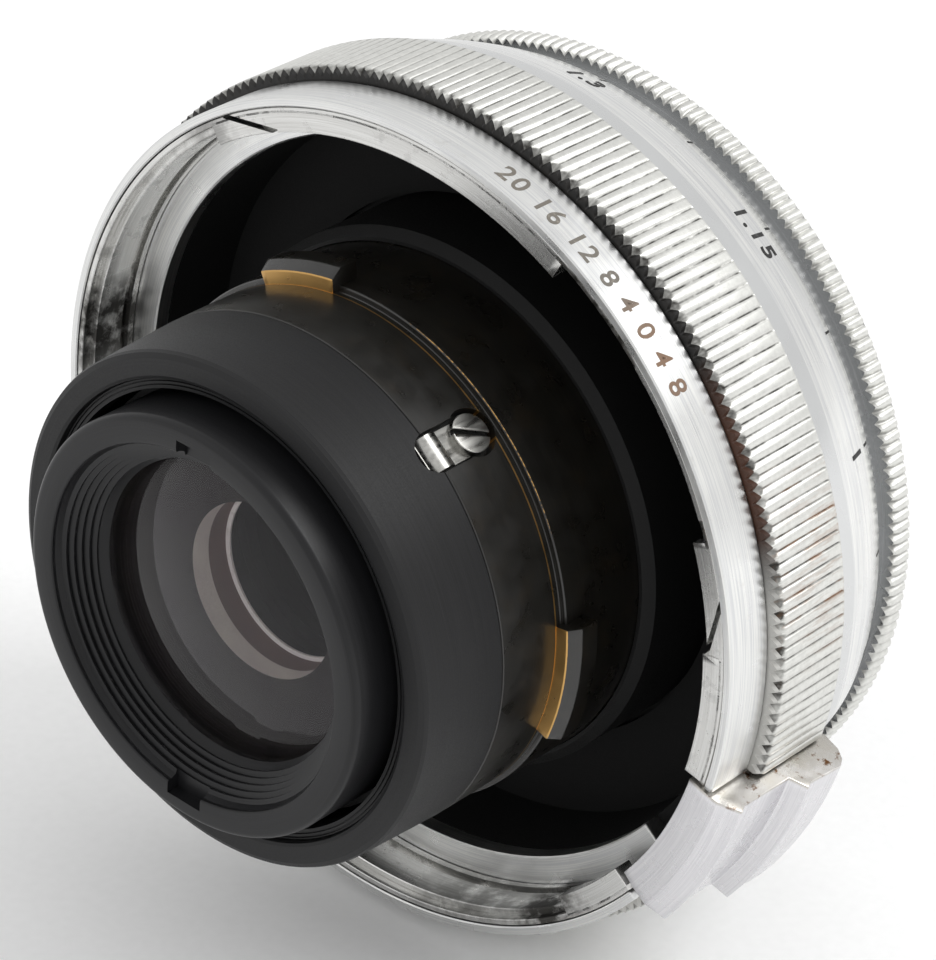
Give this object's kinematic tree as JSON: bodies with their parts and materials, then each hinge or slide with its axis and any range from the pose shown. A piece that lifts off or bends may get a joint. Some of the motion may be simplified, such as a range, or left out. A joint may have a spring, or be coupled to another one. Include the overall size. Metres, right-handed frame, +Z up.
{
  "type": "camera lens",
  "caption": "Wide-angle rangefinder camera lens with a chromed bayonet mount shell, black coupling sleeve with lugs, toothed focusing ring, aperture ring and iris.",
  "frame": {"origin": "on the optical axis at the rear rim plane of the mount shell", "axes": "+Y along the optical axis towards the front of the lens, +Z up, the release catch on the +X side"},
  "size_m": [0.0585, 0.0416, 0.0576],
  "materials": {
    "satin_chrome": "satin chrome plate on brass, circumferential turning marks",
    "nickel_steel": "ground nickel-plated steel, lightly tarnished",
    "steel": "machined steel",
    "blued_steel": "blackened spring steel",
    "black_lacquer": "glossy black lacquer on brass, worn to brass on edges",
    "black_anodised": "satin black anodised aluminium",
    "black_paint": "flat black optical paint",
    "brass": "machined brass",
    "coated_glass": "polished optical glass with a single magenta-brown coating"
  },
  "bodies": {
    "mount": {"mount_shell": "satin_chrome", "grip_ring": "satin_chrome", "scale_ring": "satin_chrome", "bayonet_ring": "nickel_steel", "bayonet_screws": "steel", "light_shield": "black_paint", "driver_retainer": "black_paint", "retainer_screws": "steel", "catch_pin": "steel", "catch_spring": "steel"},
    "catch": {"release_catch": "nickel_steel"},
    "driver": {"drive_tube": "black_lacquer", "drive_keys": "brass", "key_screws": "steel"},
    "sleeve": {"coupling_sleeve": "black_lacquer", "sleeve_end_ring": "black_anodised", "rear_trim_ring": "black_anodised", "detent_spring": "steel", "spring_screw": "steel"},
    "optics": {"focus_ring": "satin_chrome", "flange_screws": "steel", "optical_barrel": "black_anodised", "front_barrel": "satin_chrome", "foot_screws": "steel", "front_cell": "black_anodised", "front_group_cell": "black_anodised", "front_trim_ring": "black_anodised", "front_glass": "coated_glass", "second_glass": "coated_glass", "front_doublet_outer": "coated_glass", "front_doublet_inner": "coated_glass", "iris_base_plate": "black_anodised", "rear_group_cell": "black_anodised", "triplet_retainer": "black_anodised", "triplet_front_glass": "coated_glass", "triplet_middle_glass": "coated_glass", "triplet_rear_glass": "coated_glass", "rear_baffle": "black_paint", "rear_glass": "coated_glass", "rear_hood": "black_anodised"},
    "aperture": {"aperture_ring": "satin_chrome", "aperture_pins": "steel", "aperture_tube": "black_anodised", "iris_cam_ring": "black_anodised"},
    "blade_1": {"iris_blade_1": "blued_steel"},
    "blade_2": {"iris_blade_2": "blued_steel"},
    "blade_3": {"iris_blade_3": "blued_steel"},
    "blade_4": {"iris_blade_4": "blued_steel"},
    "blade_5": {"iris_blade_5": "blued_steel"},
    "blade_6": {"iris_blade_6": "blued_steel"}
  },
  "joints": [
    {"name": "catch_rock", "type": "hinge", "parent": "mount", "child": "catch", "pos_m": [0.02339, 0.006, -0.01288], "axis": [0.4825, 0, 0.8759], "range_deg": [0, 5], "stiffness_Nm_per_rad": 0.02, "springref_deg": -2.86},
    {"name": "focus_turn", "type": "hinge", "parent": "mount", "child": "driver", "pos_m": [0, 0, 0], "axis": [0, -1, 0], "range_deg": [0, 270]},
    {"name": "sleeve_advance", "type": "slide", "parent": "driver", "child": "sleeve", "axis": [0, 1, 0], "range_m": [0, 0.0031]},
    {"name": "focus_advance", "type": "slide", "parent": "driver", "child": "optics", "axis": [0, 1, 0], "range_m": [0, 0.0005]},
    {"name": "aperture_turn", "type": "hinge", "parent": "optics", "child": "aperture", "pos_m": [0, 0, 0], "axis": [0, -1, 0], "range_deg": [0, 54]},
    {"name": "blade_1_swing", "type": "hinge", "parent": "optics", "child": "blade_1", "pos_m": [0.0104, 0.009, 0], "axis": [0, -1, 0], "range_deg": [0, 31]},
    {"name": "blade_2_swing", "type": "hinge", "parent": "optics", "child": "blade_2", "pos_m": [0.0052, 0.00917, 0.00901], "axis": [0, -1, 0], "range_deg": [0, 31]},
    {"name": "blade_3_swing", "type": "hinge", "parent": "optics", "child": "blade_3", "pos_m": [-0.0052, 0.00934, 0.00901], "axis": [0, -1, 0], "range_deg": [0, 31]},
    {"name": "blade_4_swing", "type": "hinge", "parent": "optics", "child": "blade_4", "pos_m": [-0.0104, 0.00951, 0], "axis": [0, -1, 0], "range_deg": [0, 31]},
    {"name": "blade_5_swing", "type": "hinge", "parent": "optics", "child": "blade_5", "pos_m": [-0.0052, 0.00968, -0.00901], "axis": [0, -1, 0], "range_deg": [0, 31]},
    {"name": "blade_6_swing", "type": "hinge", "parent": "optics", "child": "blade_6", "pos_m": [0.0052, 0.00985, -0.00901], "axis": [0, -1, 0], "range_deg": [0, 31]}
  ],
  "couplings": [
    {"joint": "sleeve_advance", "follows": "focus_turn", "m_per_rad": 0.00065784},
    {"joint": "focus_advance", "follows": "focus_turn", "m_per_rad": 0.0001061},
    {"joint": "blade_1_swing", "follows": "aperture_turn", "ratio": 0.57407},
    {"joint": "blade_2_swing", "follows": "aperture_turn", "ratio": 0.57407},
    {"joint": "blade_3_swing", "follows": "aperture_turn", "ratio": 0.57407},
    {"joint": "blade_4_swing", "follows": "aperture_turn", "ratio": 0.57407},
    {"joint": "blade_5_swing", "follows": "aperture_turn", "ratio": 0.57407},
    {"joint": "blade_6_swing", "follows": "aperture_turn", "ratio": 0.57407}
  ]
}
